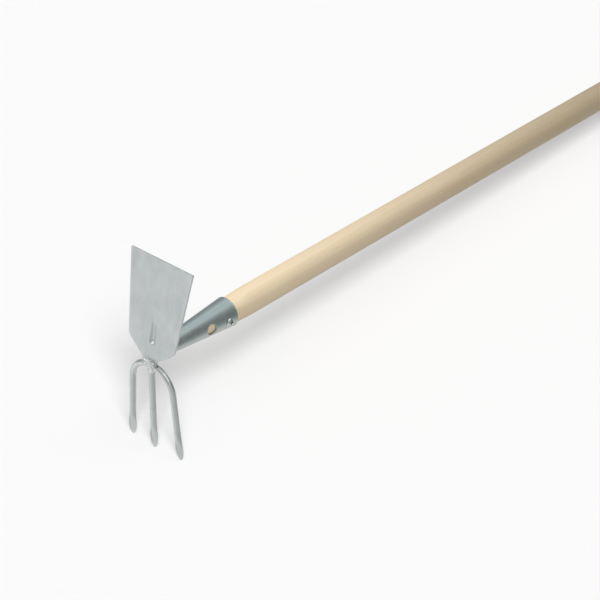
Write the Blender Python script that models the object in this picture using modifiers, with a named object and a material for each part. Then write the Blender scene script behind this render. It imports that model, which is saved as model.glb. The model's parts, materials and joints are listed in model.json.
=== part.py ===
# Double hoe: a steel blade and a three-tined fork, welded to a rolled socket on an ash handle.
# Metres, +Z up. The tool is built with its handle along +X, the blade up and the tines down.
# It is then laid on its three tine tips and the butt of its handle, as it rests on a floor.

import math

import bmesh
import bpy
from mathutils import Vector

# Clearance between pieces that touch
GAP = 0.0003

# Blade: one piece of sheet, with its back face through the tool's centre
BLADE_THICKNESS = 0.0020
BLADE_LEAN = math.radians(12.5)      # towards the handle
CUTTING_WIDTH = 0.0782
BLADE_LENGTH = 0.1020                # from the foot of the neck to the cutting edge
SHOULDER_WIDTH = 0.0588
SHOULDER_HEIGHT = 0.0194             # above the foot of the neck
NECK_WIDTH = 0.0168
NECK_HEIGHT = 0.0043
CUTTING_CORNER = 0.0008              # radius of the two corners of the cutting edge
SHOULDER_CORNER = 0.0090
NECK_CORNER = 0.0030
SHEET_ROUNDING = 0.0003

# Rib pressed into the blade from behind: a steep round nose that runs out into the sheet
RIB_RADIUS = 0.0027                  # half its width, and the radius of its nose
RIB_LENGTH = 0.0255
RIB_RISE = 0.0196                    # from the foot of the neck to the nose
RIB_HEIGHT = 0.0015
RIB_DENT_RADIUS = 0.0021
RIB_DENT = 0.0010                    # depth of the dent on the back

# Socket: a cone rolled from sheet, its seam on the underside
SOCKET_LENGTH = 0.0985
SOCKET_MOUTH_RADIUS = 0.0150
SOCKET_FOOT_RADIUS = 0.0065
SOCKET_WALL = 0.0015
LIP_ROUNDING = 0.0004
SEAM_WIDTH = 0.0010
WINDOW_RADIUS = 0.0054               # round hole that shows the wood
WINDOW_INSET = 0.0318                # its centre, from the mouth

# Handle: turned ash
HANDLE_LENGTH = 1.3000
HANDLE_RADIUS = 0.0140
HANDLE_SWELL = 0.0250                # the length over which it grows outside the mouth
HANDLE_TIP_INSET = 0.0250            # from the blade to the wood's tip
HANDLE_TIP_FREE = 0.0009             # room round the wood's tip, in the socket
TIP_CHAMFER = 0.0008
BUTT_ROUNDING = 0.0050

# Screw through the socket into the wood
SCREW_INSET = 0.0106                 # from the mouth
SCREW_LENGTH = 0.0220
SCREW_RADIUS = 0.0022
SCREW_HEAD_RADIUS = 0.0040
SCREW_HEAD_HEIGHT = 0.0027
SCREW_HEAD_RIM = 0.35                # share of that height that is upright, below the dome
SCREW_POINT = 0.0050
RECESS_WIDTH = 0.0009
RECESS_SPAN = 0.0044
RECESS_DEPTH = 0.0013

# Fork: an arched rod for the outer tines, and a straight one between them
ROD_RADIUS = 0.0030
BAR_FLAT = 0.0017                    # half of the arch's straight top
ARCH_RADIUS = 0.0246
TINE_SPLAY = math.radians(4.7)
OUTER_LEAN = math.radians(0.6)       # towards the handle
CENTRE_LEAN = math.radians(-1.0)     # away from the handle
FORK_DEPTH = 0.1030                  # from the socket's axis to the floor under the outer tips
CENTRE_LIFT = 0.0012                 # from the floor to the tip of the centre tine
BAR_SPACE = 0.0013                   # from the socket's foot to the arch, filled with weld

# Forged tips of the tines
SPEAR_LENGTH = 0.0280
SPEAR_TAPER = 0.0128                 # from the widest place to the tip
SPEAR_HALF_WIDTH = 0.0052
SPEAR_HALF_THICKNESS = 0.0023
SPEAR_EDGE = 1.40                    # 2 is an oval section, 1 a diamond
SPEAR_BELLY = 1.80                   # 1 is a straight taper, and more keeps it full for longer
SPEAR_BLUNTNESS = 0.55               # 1 is a sharp tip, and less makes it rounder
SPEAR_ROOT = 0.0010                  # length that is sunk into the rod
SPEAR_STEP = 0.00004                 # by which its root is slimmer than the rod

# Welds
BEAD_RADIUS = 0.0021
BEAD_RIPPLE = 0.12                   # share of the radius by which the bead swells and narrows
BEAD_PITCH = 0.0042
BEAD_END = 0.30                      # least share of the radius, at the ends of a straight bead
BEAD_SQUARENESS = 6                  # how late a straight bead closes: 2 is an oval
RING_BEAD_RADIUS = 0.0021
RING_BEAD_RIPPLES = 13
COLLAR_SWELL = 0.0022                # weld round the top of the centre tine
COLLAR_EDGE = 0.0004                 # its thickness where it runs out
COLLAR_LENGTH = 0.0068               # from the middle of the arch down the tine

# Counts of facets
ROUND_STEPS = 48
HANDLE_STEPS = 40
SMALL_STEPS = 24                     # round the screw, the rib and the collar
PROFILE_STEPS = 6                    # in each curved part of a turned profile
ROD_RESOLUTION = 6
BEAD_RESOLUTION = 3
BEAD_POINTS = 5                      # along each ripple
ARCH_STEPS = 14
SPEAR_SIDES = 16
SPEAR_STEPS = 12
CORNER_STEPS = 5
MERGE_DISTANCE = 0.000005            # points closer than this are one point

# Places that follow from the sizes above
BAR_Z = -(SOCKET_FOOT_RADIUS + BAR_SPACE + ROD_RADIUS)
SOCKET_SLOPE = (SOCKET_MOUTH_RADIUS - SOCKET_FOOT_RADIUS) / SOCKET_LENGTH
SOCKET_START = -SOCKET_FOOT_RADIUS   # in front of the blade, so that its foot can be cut to the lean
SCREW_X = SOCKET_LENGTH - SCREW_INSET
WINDOW_X = SOCKET_LENGTH - WINDOW_INSET
BUTT_X = HANDLE_TIP_INSET + HANDLE_LENGTH
FAR = 0.100                          # how far a cutter runs past what it cuts


def resting_lean():
    # Slope of the floor's line, from under the tips to the lower edge of the butt
    return math.atan((FORK_DEPTH - HANDLE_RADIUS) / (BUTT_X - BUTT_ROUNDING))


def tine_drop(lean, lift):
    # From the arch's middle down a leaning tine, to a height above the floor's line
    depth = FORK_DEPTH + BAR_Z - lift
    return depth / (math.cos(lean) + math.sin(lean) * math.tan(resting_lean()))


def arch_fall(across):
    # How far the arch's upper side has fallen at a distance from its middle
    reach = ARCH_RADIUS + ROD_RADIUS
    beyond = min(max(abs(across) - BAR_FLAT, 0.0), reach)
    return reach - math.sqrt(reach ** 2 - beyond ** 2)


def neck_foot():
    # Place of the neck's foot along the blade, where its back corner meets the arch
    along = BAR_Z * math.cos(BLADE_LEAN)
    aside = BAR_Z * math.sin(BLADE_LEAN)
    reach = ROD_RADIUS + GAP
    return along + math.sqrt(max(reach ** 2 - aside ** 2, 0.0))


def socket_radius(x):
    return SOCKET_FOOT_RADIUS + SOCKET_SLOPE * x


def bore_radius(x):
    return socket_radius(x) - SOCKET_WALL


def ease(share):
    # From 0 to 1, slow at both ends
    return share * share * (3 - 2 * share)


NECK_FOOT = neck_foot()


# Scene and materials

def clear_scene():
    for item in list(bpy.data.objects):
        bpy.data.objects.remove(item, do_unlink=True)


def new_collection(name):
    collection = bpy.data.collections.new(name)
    bpy.context.scene.collection.children.link(collection)
    return collection


def new_material(name, colour, roughness, metallic):
    material = bpy.data.materials.new(name)
    material.use_nodes = True
    shader = material.node_tree.nodes["Principled BSDF"]
    shader.inputs["Base Color"].default_value = (*colour, 1.0)
    shader.inputs["Roughness"].default_value = roughness
    shader.inputs["Metallic"].default_value = metallic
    return material


def new_empty(name, parent, location=(0, 0, 0), rotation=(0, 0, 0)):
    empty = bpy.data.objects.new(name, None)
    empty.parent = parent
    empty.location = location
    empty.rotation_euler = rotation
    parts.objects.link(empty)
    return empty


def place(item, parent, location=(0, 0, 0), rotation=(0, 0, 0)):
    item.parent = parent
    item.location = location
    item.rotation_euler = rotation
    return item


def new_object(name, data, parent, location=(0, 0, 0), rotation=(0, 0, 0)):
    item = bpy.data.objects.new(name, data)
    parts.objects.link(item)
    return place(item, parent, location, rotation)


def as_cutter(item):
    parts.objects.unlink(item)
    cutters.objects.link(item)
    item.hide_render = True
    item.display_type = "WIRE"
    return item


def combine(target, other, operation):
    step = target.modifiers.new(operation.title() + " " + other.name, "BOOLEAN")
    step.operation = operation
    step.object = other
    step.solver = "EXACT"


def cut(target, *others):
    for other in others:
        combine(target, other, "DIFFERENCE")


def join(target, *others):
    for other in others:
        combine(target, other, "UNION")


def finish(item, material, smooth=True):
    item.data.materials.clear()
    item.data.materials.append(material)
    if smooth:
        item.data.shade_smooth()
        item.data.set_sharp_from_angle(angle=math.radians(35))


# Shapes

def turned(name, profile, steps, parent, closed=False, location=(0, 0, 0), rotation=(0, 0, 0)):
    # Profile of (radius, height), turned about the object's own Z
    mesh = bpy.data.meshes.new(name)
    edges = [(i, i + 1) for i in range(len(profile) - 1)]
    if closed:
        edges.append((len(profile) - 1, 0))
    mesh.from_pydata([(r, 0.0, z) for r, z in profile], edges, [])
    item = new_object(name, mesh, parent, location, rotation)
    screw = item.modifiers.new("Turn", "SCREW")
    screw.steps = steps
    screw.render_steps = steps
    screw.use_merge_vertices = True
    screw.merge_threshold = MERGE_DISTANCE
    screw.use_smooth_shade = True
    return item


def mesh_from_curve(curve_object):
    # The curve's evaluated mesh with its caps welded, in a new object at the same place
    name = curve_object.name
    parent = curve_object.parent
    bpy.context.view_layer.update()
    graph = bpy.context.evaluated_depsgraph_get()
    mesh = bpy.data.meshes.new_from_object(curve_object.evaluated_get(graph))
    shape = bmesh.new()
    shape.from_mesh(mesh)
    bmesh.ops.remove_doubles(shape, verts=shape.verts, dist=MERGE_DISTANCE)
    bmesh.ops.recalc_face_normals(shape, faces=shape.faces)
    shape.to_mesh(mesh)
    shape.free()
    matrix = curve_object.matrix_world.copy()
    bpy.data.objects.remove(curve_object, do_unlink=True)
    item = bpy.data.objects.new(name, mesh)
    parts.objects.link(item)
    item.parent = parent
    item.matrix_world = matrix
    return item


def tube(name, points, radius, parent, resolution, swell=None, cyclic=False):
    # Round rod along the points; swell gives each point's share of the radius
    curve = bpy.data.curves.new(name, "CURVE")
    curve.dimensions = "3D"
    curve.bevel_depth = radius
    curve.bevel_resolution = resolution
    curve.use_fill_caps = not cyclic
    line = curve.splines.new("POLY")
    line.points.add(len(points) - 1)
    for i, point in enumerate(points):
        line.points[i].co = (*point, 1.0)
        line.points[i].radius = swell[i] if swell else 1.0
    line.use_cyclic_u = cyclic
    return mesh_from_curve(new_object(name, curve, parent))


def rounded(corners):
    # Corners of (point, radius), each replaced by an arc that is tangent to its two sides
    points = []
    for i, (corner, radius) in enumerate(corners):
        corner = Vector(corner)
        before = (Vector(corners[i - 1][0]) - corner).normalized()
        after = (Vector(corners[(i + 1) % len(corners)][0]) - corner).normalized()
        half = before.angle(after) / 2
        centre = corner + (before + after).normalized() * radius / math.sin(half)
        start = (corner + before * radius / math.tan(half) - centre).normalized()
        end = (corner + after * radius / math.tan(half) - centre).normalized()
        for k in range(CORNER_STEPS + 1):
            points.append(centre + start.slerp(end, k / CORNER_STEPS) * radius)
    return points


def sheet(name, outline, thickness, parent, location, rotation):
    # Flat plate: a filled outline, extruded by half its thickness to both sides
    curve = bpy.data.curves.new(name, "CURVE")
    curve.dimensions = "2D"
    curve.fill_mode = "BOTH"
    curve.extrude = thickness / 2
    line = curve.splines.new("POLY")
    line.points.add(len(outline) - 1)
    for point, target in zip(outline, line.points):
        target.co = (point.x, point.y, 0.0, 1.0)
    line.use_cyclic_u = True
    return mesh_from_curve(new_object(name, curve, parent, location, rotation))


def box(name, low, high, parent):
    mesh = bpy.data.meshes.new(name)
    shape = bmesh.new()
    bmesh.ops.create_cube(shape, size=1.0)
    for vertex in shape.verts:
        for axis in range(3):
            vertex.co[axis] = low[axis] + (vertex.co[axis] + 0.5) * (high[axis] - low[axis])
    shape.to_mesh(mesh)
    shape.free()
    return new_object(name, mesh, parent)


def cylinder(name, radius, length, parent, location, rotation):
    # Along the object's own Z, from its origin upwards
    mesh = bpy.data.meshes.new(name)
    shape = bmesh.new()
    bmesh.ops.create_cone(shape, cap_ends=True, segments=ROUND_STEPS,
                          radius1=radius, radius2=radius, depth=length)
    bmesh.ops.translate(shape, verts=shape.verts, vec=(0, 0, length / 2))
    shape.to_mesh(mesh)
    shape.free()
    return new_object(name, mesh, parent, location, rotation)


# Blade

def blade_outline():
    foot = NECK_FOOT
    half = [((CUTTING_WIDTH / 2, foot + BLADE_LENGTH), CUTTING_CORNER),
            ((SHOULDER_WIDTH / 2, foot + SHOULDER_HEIGHT), SHOULDER_CORNER),
            ((NECK_WIDTH / 2, foot + NECK_HEIGHT), NECK_CORNER),
            ((NECK_WIDTH / 2, foot), SHEET_ROUNDING)]
    other = [((-across, along), radius) for (across, along), radius in reversed(half)]
    return rounded(half + other)


def rib_form(name, radius, height, face):
    # Ball drawn out into a bar and squashed to the height, tilted so that its tail runs out of the face
    run = RIB_LENGTH - radius
    shape = bmesh.new()
    bmesh.ops.create_uvsphere(shape, u_segments=SMALL_STEPS, v_segments=SMALL_STEPS // 2, radius=radius)
    for vertex in shape.verts:
        if vertex.co.z > MERGE_DISTANCE:
            vertex.co.z += run - radius
        vertex.co.x *= height / radius
    for face_of_shape in shape.faces:
        face_of_shape.smooth = True
    mesh = bpy.data.meshes.new(name)
    shape.to_mesh(mesh)
    shape.free()
    middle = NECK_FOOT + RIB_RISE + RIB_RADIUS
    tilt = math.atan(height / run)
    return as_cutter(new_object(name, mesh, blade_frame, (face, 0.0, middle), (0.0, tilt, 0.0)))


def make_blade(material):
    # The outline's own axes turn so that its width lies across and its length stands up
    upright = (math.pi / 2, 0.0, math.pi / 2)
    middle = -BLADE_THICKNESS / 2
    blade = sheet("blade", blade_outline(), BLADE_THICKNESS, blade_frame, (middle, 0.0, 0.0), upright)
    edges = blade.modifiers.new("Sheared edges", "BEVEL")
    edges.width = SHEET_ROUNDING
    edges.segments = 1
    edges.limit_method = "ANGLE"
    edges.angle_limit = math.radians(60)
    rib = rib_form("rib_form", RIB_RADIUS, RIB_HEIGHT, -BLADE_THICKNESS)
    behind = as_cutter(box("rib_back", (middle, -FAR, -FAR), (FAR, FAR, FAR), blade_frame))
    cut(rib, behind)
    dent = rib_form("rib_dent", RIB_DENT_RADIUS, RIB_DENT, 0.0)
    join(blade, rib)
    cut(blade, dent)
    finish(blade, material, smooth=False)
    return blade


# Socket and handle, both turned about the tool's X

LENGTHWISE = (0.0, math.pi / 2, 0.0)


def make_socket_room():
    profile = [(0.0, SOCKET_LENGTH),
               (socket_radius(SOCKET_LENGTH) + GAP, SOCKET_LENGTH),
               (socket_radius(SOCKET_START) + GAP, SOCKET_START),
               (0.0, SOCKET_START)]
    return as_cutter(turned("socket_room", profile, ROUND_STEPS, tool, rotation=LENGTHWISE))


def make_socket(material):
    # The closed wall of the cone, with rounded lips at its mouth and its foot cut to the blade
    end = SOCKET_LENGTH
    lip = LIP_ROUNDING
    profile = [(socket_radius(end) - lip, end),
               (socket_radius(end), end - lip),
               (socket_radius(SOCKET_START), SOCKET_START),
               (bore_radius(SOCKET_START), SOCKET_START),
               (bore_radius(end), end - lip),
               (bore_radius(end) + lip, end)]
    socket = turned("socket", profile, ROUND_STEPS, tool, closed=True, rotation=LENGTHWISE)
    window = cylinder("window_cutter", WINDOW_RADIUS, SOCKET_MOUTH_RADIUS + FAR, tool,
                      (WINDOW_X, 0.0, 0.0), (math.pi / 2, 0.0, 0.0))
    seam = box("seam_cutter", (-FAR, -SEAM_WIDTH / 2, -FAR), (SOCKET_LENGTH + FAR, SEAM_WIDTH / 2, 0.0), tool)
    cut(socket, blade_front, as_cutter(seam), as_cutter(window), screw_bore)
    finish(socket, material)
    return socket


def handle_profile():
    # From the butt's middle round its edge, along the pole and down the cone to the wood's tip
    mouth = SOCKET_LENGTH
    mouth_radius = bore_radius(mouth) - GAP
    tip_radius = bore_radius(HANDLE_TIP_INSET) - HANDLE_TIP_FREE
    points = [(0.0, BUTT_X)]
    for k in range(PROFILE_STEPS + 1):
        turn = math.pi / 2 * (1 - k / PROFILE_STEPS)
        points.append((HANDLE_RADIUS - BUTT_ROUNDING * (1 - math.cos(turn)),
                       BUTT_X - BUTT_ROUNDING * (1 - math.sin(turn))))
    for k in range(PROFILE_STEPS + 1):
        share = k / PROFILE_STEPS
        points.append((HANDLE_RADIUS + (mouth_radius - HANDLE_RADIUS) * ease(share),
                       mouth + HANDLE_SWELL * (1 - share)))
    points.append((tip_radius, HANDLE_TIP_INSET + TIP_CHAMFER))
    points.append((tip_radius - TIP_CHAMFER, HANDLE_TIP_INSET))
    points.append((0.0, HANDLE_TIP_INSET))
    return points


def make_handle(material):
    handle = turned("handle", handle_profile(), HANDLE_STEPS, tool, rotation=LENGTHWISE)
    cut(handle, screw_bore)
    finish(handle, material)
    return handle


# Screw, along the Z of its own frame: 0 at the socket's surface, square to the cone

def make_screw(material):
    seat = GAP
    shank_end = seat - SCREW_LENGTH
    head = SCREW_HEAD_RADIUS
    rim = seat + SCREW_HEAD_HEIGHT * SCREW_HEAD_RIM
    top = seat + SCREW_HEAD_HEIGHT
    points = [(0.0, top)]
    for k in range(1, PROFILE_STEPS + 1):
        turn = math.pi / 2 * k / PROFILE_STEPS
        points.append((head * math.sin(turn), rim + (top - rim) * math.cos(turn)))
    points.append((head, seat))
    points.append((SCREW_RADIUS, seat))
    points.append((SCREW_RADIUS, shank_end + SCREW_POINT))
    points.append((0.0, shank_end))
    screw = turned("socket_screw", points, SMALL_STEPS, screw_frame)
    slim = RECESS_WIDTH / 2
    wide = RECESS_SPAN / 2
    across = box("recess_across", (-wide, -slim, top - RECESS_DEPTH), (wide, slim, top + FAR), screw_frame)
    along = box("recess_along", (-slim, -wide, top - RECESS_DEPTH), (slim, wide, top + FAR), screw_frame)
    cut(screw, as_cutter(across), as_cutter(along))
    finish(screw, material)
    return screw


def make_screw_bore():
    # The head's seat lies a gap above the surface, so this depth leaves a gap below the point
    return as_cutter(cylinder("screw_bore", SCREW_RADIUS + GAP, SCREW_LENGTH + FAR, screw_frame,
                              (0.0, 0.0, -SCREW_LENGTH), (0.0, 0.0, 0.0)))


# Fork

def arch_points():
    # Half of the outer rod's centre line, from the middle of the arch down one tine
    centre = Vector((0.0, BAR_FLAT, -ARCH_RADIUS))
    turn_end = math.pi / 2 - TINE_SPLAY
    points = []
    for k in range(ARCH_STEPS + 1):
        turn = turn_end * k / ARCH_STEPS
        points.append(centre + ARCH_RADIUS * Vector((0.0, math.sin(turn), math.cos(turn))))
    down = Vector((0.0, math.sin(TINE_SPLAY), -math.cos(TINE_SPLAY)))
    shank = (points[-1].z + tine_drop(OUTER_LEAN, 0.0)) / math.cos(TINE_SPLAY) - SPEAR_LENGTH
    points.append(points[-1] + down * shank)
    return points


def mirrored(point):
    return Vector((point.x, -point.y, point.z))


def outer_rod(name, radius):
    half = arch_points()
    whole = [mirrored(point) for point in reversed(half)] + half
    return tube(name, whole, radius, fork_frame, ROD_RESOLUTION)


def spear_section(distance):
    # Half width, half thickness and edge of the section at a distance below the rod's end
    start = ROD_RADIUS - SPEAR_STEP
    swell = SPEAR_LENGTH - SPEAR_TAPER
    share = ease(min(max(distance / swell, 0.0), 1.0))
    width = start + (SPEAR_HALF_WIDTH - start) * share
    thickness = start + (SPEAR_HALF_THICKNESS - start) * share
    edge = 2.0 + (SPEAR_EDGE - 2.0) * share
    if distance > swell:
        run = (distance - swell) / SPEAR_TAPER
        close = (1 - run ** SPEAR_BELLY) ** SPEAR_BLUNTNESS
        width *= close
        thickness *= close
    return width, thickness, edge


def superellipse(half_x, half_y, edge, turn):
    c = math.cos(turn)
    s = math.sin(turn)
    x = half_x * math.copysign(abs(c) ** (2 / edge), c)
    y = half_y * math.copysign(abs(s) ** (2 / edge), s)
    return x, y


def spear(name, parent, location, splay):
    # Loft from the round rod to a flat-sided blunt point, down the object's own -Z
    body = bmesh.new()
    swell = SPEAR_LENGTH - SPEAR_TAPER
    stations = [-SPEAR_ROOT]
    stations += [swell * k / SPEAR_STEPS for k in range(SPEAR_STEPS + 1)]
    stations += [swell + SPEAR_TAPER * math.sin(math.pi / 2 * k / SPEAR_STEPS) for k in range(1, SPEAR_STEPS)]
    rings = []
    for distance in stations:
        width, thickness, edge = spear_section(distance)
        ring = []
        for k in range(SPEAR_SIDES):
            x, y = superellipse(thickness, width, edge, 2 * math.pi * k / SPEAR_SIDES)
            ring.append(body.verts.new((x, y, -distance)))
        rings.append(ring)
    point = body.verts.new((0.0, 0.0, -SPEAR_LENGTH))
    body.faces.new(rings[0])
    for upper, lower in zip(rings, rings[1:]):
        for k in range(SPEAR_SIDES):
            body.faces.new((upper[k - 1], upper[k], lower[k], lower[k - 1]))
    for k in range(SPEAR_SIDES):
        body.faces.new((rings[-1][k - 1], rings[-1][k], point))
    bmesh.ops.recalc_face_normals(body, faces=body.faces)
    mesh = bpy.data.meshes.new(name)
    body.to_mesh(mesh)
    body.free()
    return as_cutter(new_object(name, mesh, parent, location, (splay, 0.0, 0.0)))


def make_outer_tines(material):
    tines = outer_rod("outer_tines", ROD_RADIUS)
    end = arch_points()[-1]
    left = spear("left_spear", fork_frame, end, TINE_SPLAY)
    right = spear("right_spear", fork_frame, mirrored(end), -TINE_SPLAY)
    join(tines, left, right)
    finish(tines, material)
    return tines


def make_centre_tine(material):
    low = Vector((0.0, 0.0, SPEAR_LENGTH - tine_drop(CENTRE_LEAN, CENTRE_LIFT)))
    tine = tube("centre_tine", [Vector((0.0, 0.0, 0.0)), low], ROD_RADIUS, centre_frame, ROD_RESOLUTION)
    join(tine, spear("centre_spear", centre_frame, low, 0.0))
    cut(tine, arch_room)
    finish(tine, material)
    return tine


# Welds: rippled beads, cut back where they meet the pieces that they hold

def bead_swell(count, ripples, ends_close):
    swell = []
    for k in range(count):
        share = k / (count - 1) if ends_close else k / count
        ripple = 1 - BEAD_RIPPLE + BEAD_RIPPLE * math.cos(2 * math.pi * ripples * share)
        close = math.sqrt(1 - (2 * share - 1) ** BEAD_SQUARENESS) if ends_close else 1.0
        swell.append(max(ripple * close, BEAD_END))
    return swell


def straight_bead(name, radius, half_length, x, z):
    # Bead across the tool, bent down with the arch
    ripples = max(round(2 * half_length / BEAD_PITCH), 2)
    count = ripples * BEAD_POINTS + 1
    points = []
    for k in range(count):
        across = half_length * (2 * k / (count - 1) - 1)
        points.append(Vector((x, across, z - arch_fall(across))))
    return tube(name, points, radius, tool, BEAD_RESOLUTION, swell=bead_swell(count, ripples, True))


def ring_bead(name, ring_radius, radius, ripples, parent):
    # Bead in a ring about the parent's X
    count = ripples * BEAD_POINTS
    points = []
    for k in range(count):
        turn = 2 * math.pi * k / count
        points.append(Vector((0.0, ring_radius * math.cos(turn), ring_radius * math.sin(turn))))
    swell = bead_swell(count, ripples, False)
    return tube(name, points, radius, parent, BEAD_RESOLUTION, swell=swell, cyclic=True)


def make_neck_weld(material):
    # Across the front of the neck, in the corner between its foot and the arch
    corner_x = NECK_FOOT * math.sin(BLADE_LEAN) - BLADE_THICKNESS * math.cos(BLADE_LEAN)
    corner_z = NECK_FOOT * math.cos(BLADE_LEAN) + BLADE_THICKNESS * math.sin(BLADE_LEAN)
    weld = straight_bead("neck_weld", BEAD_RADIUS, (NECK_WIDTH + BEAD_RADIUS) / 2, corner_x, corner_z)
    cut(weld, blade_slab, blade_rear, arch_room, tine_room)
    finish(weld, material)
    return weld


def make_socket_weld(material):
    # Round the socket's foot on the blade's back, with a saddle that fills the space to the arch
    weld = ring_bead("socket_weld", SOCKET_FOOT_RADIUS, RING_BEAD_RADIUS, RING_BEAD_RIPPLES, blade_frame)
    foot_x = -SOCKET_FOOT_RADIUS * math.sin(BLADE_LEAN)
    saddle = straight_bead("saddle_form", BEAD_RADIUS + BAR_SPACE / 2, NECK_WIDTH / 2 - BEAD_RADIUS,
                           foot_x + BEAD_RADIUS, BAR_Z + ROD_RADIUS + BAR_SPACE / 2)
    join(weld, as_cutter(saddle))
    cut(weld, blade_front, socket_room, arch_room, tine_room)
    finish(weld, material)
    return weld


def make_tine_weld(material):
    # Swollen collar round the top of the centre tine, saddled over the underside of the arch
    steps = 2 * PROFILE_STEPS
    least = ROD_RADIUS + GAP + COLLAR_EDGE
    points = [(0.0, 0.0)]
    for k in range(steps + 1):
        share = k / steps
        points.append((least + COLLAR_SWELL * math.sin(math.pi * math.sqrt(share)) ** 2, -COLLAR_LENGTH * share))
    points.append((0.0, -COLLAR_LENGTH))
    weld = turned("tine_weld", points, SMALL_STEPS, centre_frame)
    cut(weld, arch_room, tine_room)
    finish(weld, material)
    return weld


# Rest on the floor

def stand_on_floor():
    tool.rotation_euler = (0.0, resting_lean(), 0.0)
    bpy.context.view_layer.update()
    graph = bpy.context.evaluated_depsgraph_get()
    corners = []
    for item in parts.objects:
        if item.type != "MESH":
            continue
        seen = item.evaluated_get(graph)
        mesh = seen.to_mesh()
        corners += [seen.matrix_world @ vertex.co for vertex in mesh.vertices]
        seen.to_mesh_clear()
    low_x = min(corner.x for corner in corners)
    high_x = max(corner.x for corner in corners)
    low_z = min(corner.z for corner in corners)
    tool.location = (-(low_x + high_x) / 2, 0.0, -low_z)


clear_scene()
parts = new_collection("double_hoe")
cutters = new_collection("cutters")

zinc = new_material("galvanised_sheet", (0.53, 0.56, 0.55), 0.38, 1.0)
zinc_rod = new_material("galvanised_rod", (0.50, 0.53, 0.52), 0.32, 1.0)
rolled = new_material("zinc_plated_socket", (0.42, 0.50, 0.50), 0.28, 1.0)
weld_metal = new_material("weld_metal", (0.58, 0.60, 0.59), 0.25, 1.0)
screw_metal = new_material("screw_zinc", (0.68, 0.70, 0.69), 0.22, 1.0)
ash = new_material("ash_wood", (0.78, 0.64, 0.43), 0.55, 0.0)

tool = new_empty("tool", None)
blade_frame = new_empty("blade_frame", tool, rotation=(0.0, BLADE_LEAN, 0.0))
fork_frame = new_empty("fork_frame", tool, (0.0, 0.0, BAR_Z), (0.0, -OUTER_LEAN, 0.0))
centre_frame = new_empty("centre_frame", tool, (0.0, 0.0, BAR_Z), (0.0, -CENTRE_LEAN, 0.0))
screw_frame = new_empty("screw_frame", tool, (SCREW_X, -socket_radius(SCREW_X), 0.0),
                        (math.pi / 2, 0.0, -math.atan(SOCKET_SLOPE)))

# Room that each piece keeps free for its neighbours
blade_slab = as_cutter(box("blade_slab", (-BLADE_THICKNESS - GAP, -FAR, NECK_FOOT - GAP),
                           (GAP, FAR, FAR), blade_frame))
blade_front = as_cutter(box("blade_front", (-FAR, -FAR, -FAR), (GAP, FAR, FAR), blade_frame))
blade_rear = as_cutter(box("blade_rear", (0.0, -FAR, -FAR), (FAR, FAR, FAR), blade_frame))
socket_room = make_socket_room()
arch_room = as_cutter(outer_rod("arch_room", ROD_RADIUS + GAP))
tine_room = as_cutter(cylinder("tine_room", ROD_RADIUS + GAP, FORK_DEPTH, centre_frame,
                               (0.0, 0.0, -FORK_DEPTH), (0.0, 0.0, 0.0)))
screw_bore = make_screw_bore()

make_blade(zinc)
make_socket(rolled)
make_handle(ash)
make_screw(screw_metal)
make_outer_tines(zinc_rod)
make_centre_tine(zinc_rod)
make_neck_weld(weld_metal)
make_socket_weld(weld_metal)
make_tine_weld(weld_metal)
stand_on_floor()
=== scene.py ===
import json
from math import atan, atan2, ceil, copysign, cos, exp, hypot, pi, radians, sin, sqrt, tan

import bmesh
import bpy
from mathutils import Euler, Matrix, Vector, noise


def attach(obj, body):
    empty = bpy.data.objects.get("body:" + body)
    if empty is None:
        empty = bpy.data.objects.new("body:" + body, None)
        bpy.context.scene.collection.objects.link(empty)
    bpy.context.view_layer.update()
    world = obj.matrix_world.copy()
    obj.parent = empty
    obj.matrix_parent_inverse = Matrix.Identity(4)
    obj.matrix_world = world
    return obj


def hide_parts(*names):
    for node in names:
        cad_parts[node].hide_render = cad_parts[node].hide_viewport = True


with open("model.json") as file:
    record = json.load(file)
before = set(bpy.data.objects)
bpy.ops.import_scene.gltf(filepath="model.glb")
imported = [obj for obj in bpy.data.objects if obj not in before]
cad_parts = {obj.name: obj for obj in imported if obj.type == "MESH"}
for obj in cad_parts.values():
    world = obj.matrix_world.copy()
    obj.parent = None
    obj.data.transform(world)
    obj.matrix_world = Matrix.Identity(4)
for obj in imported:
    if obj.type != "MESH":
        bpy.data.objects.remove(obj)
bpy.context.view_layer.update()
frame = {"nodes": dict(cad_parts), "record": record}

print("double hoe: frame loaded,", len(frame["nodes"]), "solids")

# Everything is modelled in millimetres about the middle of the blade's foot, with the handle along +X,
# the blade up and the tines down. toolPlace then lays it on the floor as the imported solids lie.
mm = 0.001
scene = bpy.context.scene
buttX = 1325.0  # from the blade's back to the butt, along the handle
gap = 0.3  # between solids that touch, as they are packed
rodRadius = 3.0
footRadius = 6.5  # of the socket, where it meets the blade
barSpace = 1.3  # between the socket's foot and the arch
barZ = -(footRadius + barSpace + rodRadius)
boxMargin = 0.02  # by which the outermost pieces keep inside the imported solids' box
mergeDistance = 0.0005
sliverSize = 0.004

mount = frame["record"]["mounts"][0]
handleAxis = Vector(mount["axis"])
tilt = atan2(-handleAxis.z, handleAxis.x)
toolOrigin = Vector(mount["pos_m"]) - handleAxis * buttX * mm
toolPlace = Matrix.Translation(toolOrigin) @ Matrix.Rotation(tilt, 4, "Y")


# Mesh helpers

def addObject(name, data):
    item = bpy.data.objects.new(name, data)
    scene.collection.objects.link(item)
    return item


def solid(name, points, faces):
    # A new object of the given points and faces, with all normals outwards
    mesh = bpy.data.meshes.new(name)
    mesh.from_pydata([tuple(p) for p in points], [], faces)
    shape = bmesh.new()
    shape.from_mesh(mesh)
    bmesh.ops.remove_doubles(shape, verts=shape.verts, dist=mergeDistance)
    bmesh.ops.dissolve_degenerate(shape, edges=shape.edges, dist=mergeDistance)
    bmesh.ops.recalc_face_normals(shape, faces=shape.faces)
    shape.to_mesh(mesh)
    shape.free()
    return addObject(name, mesh)


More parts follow.
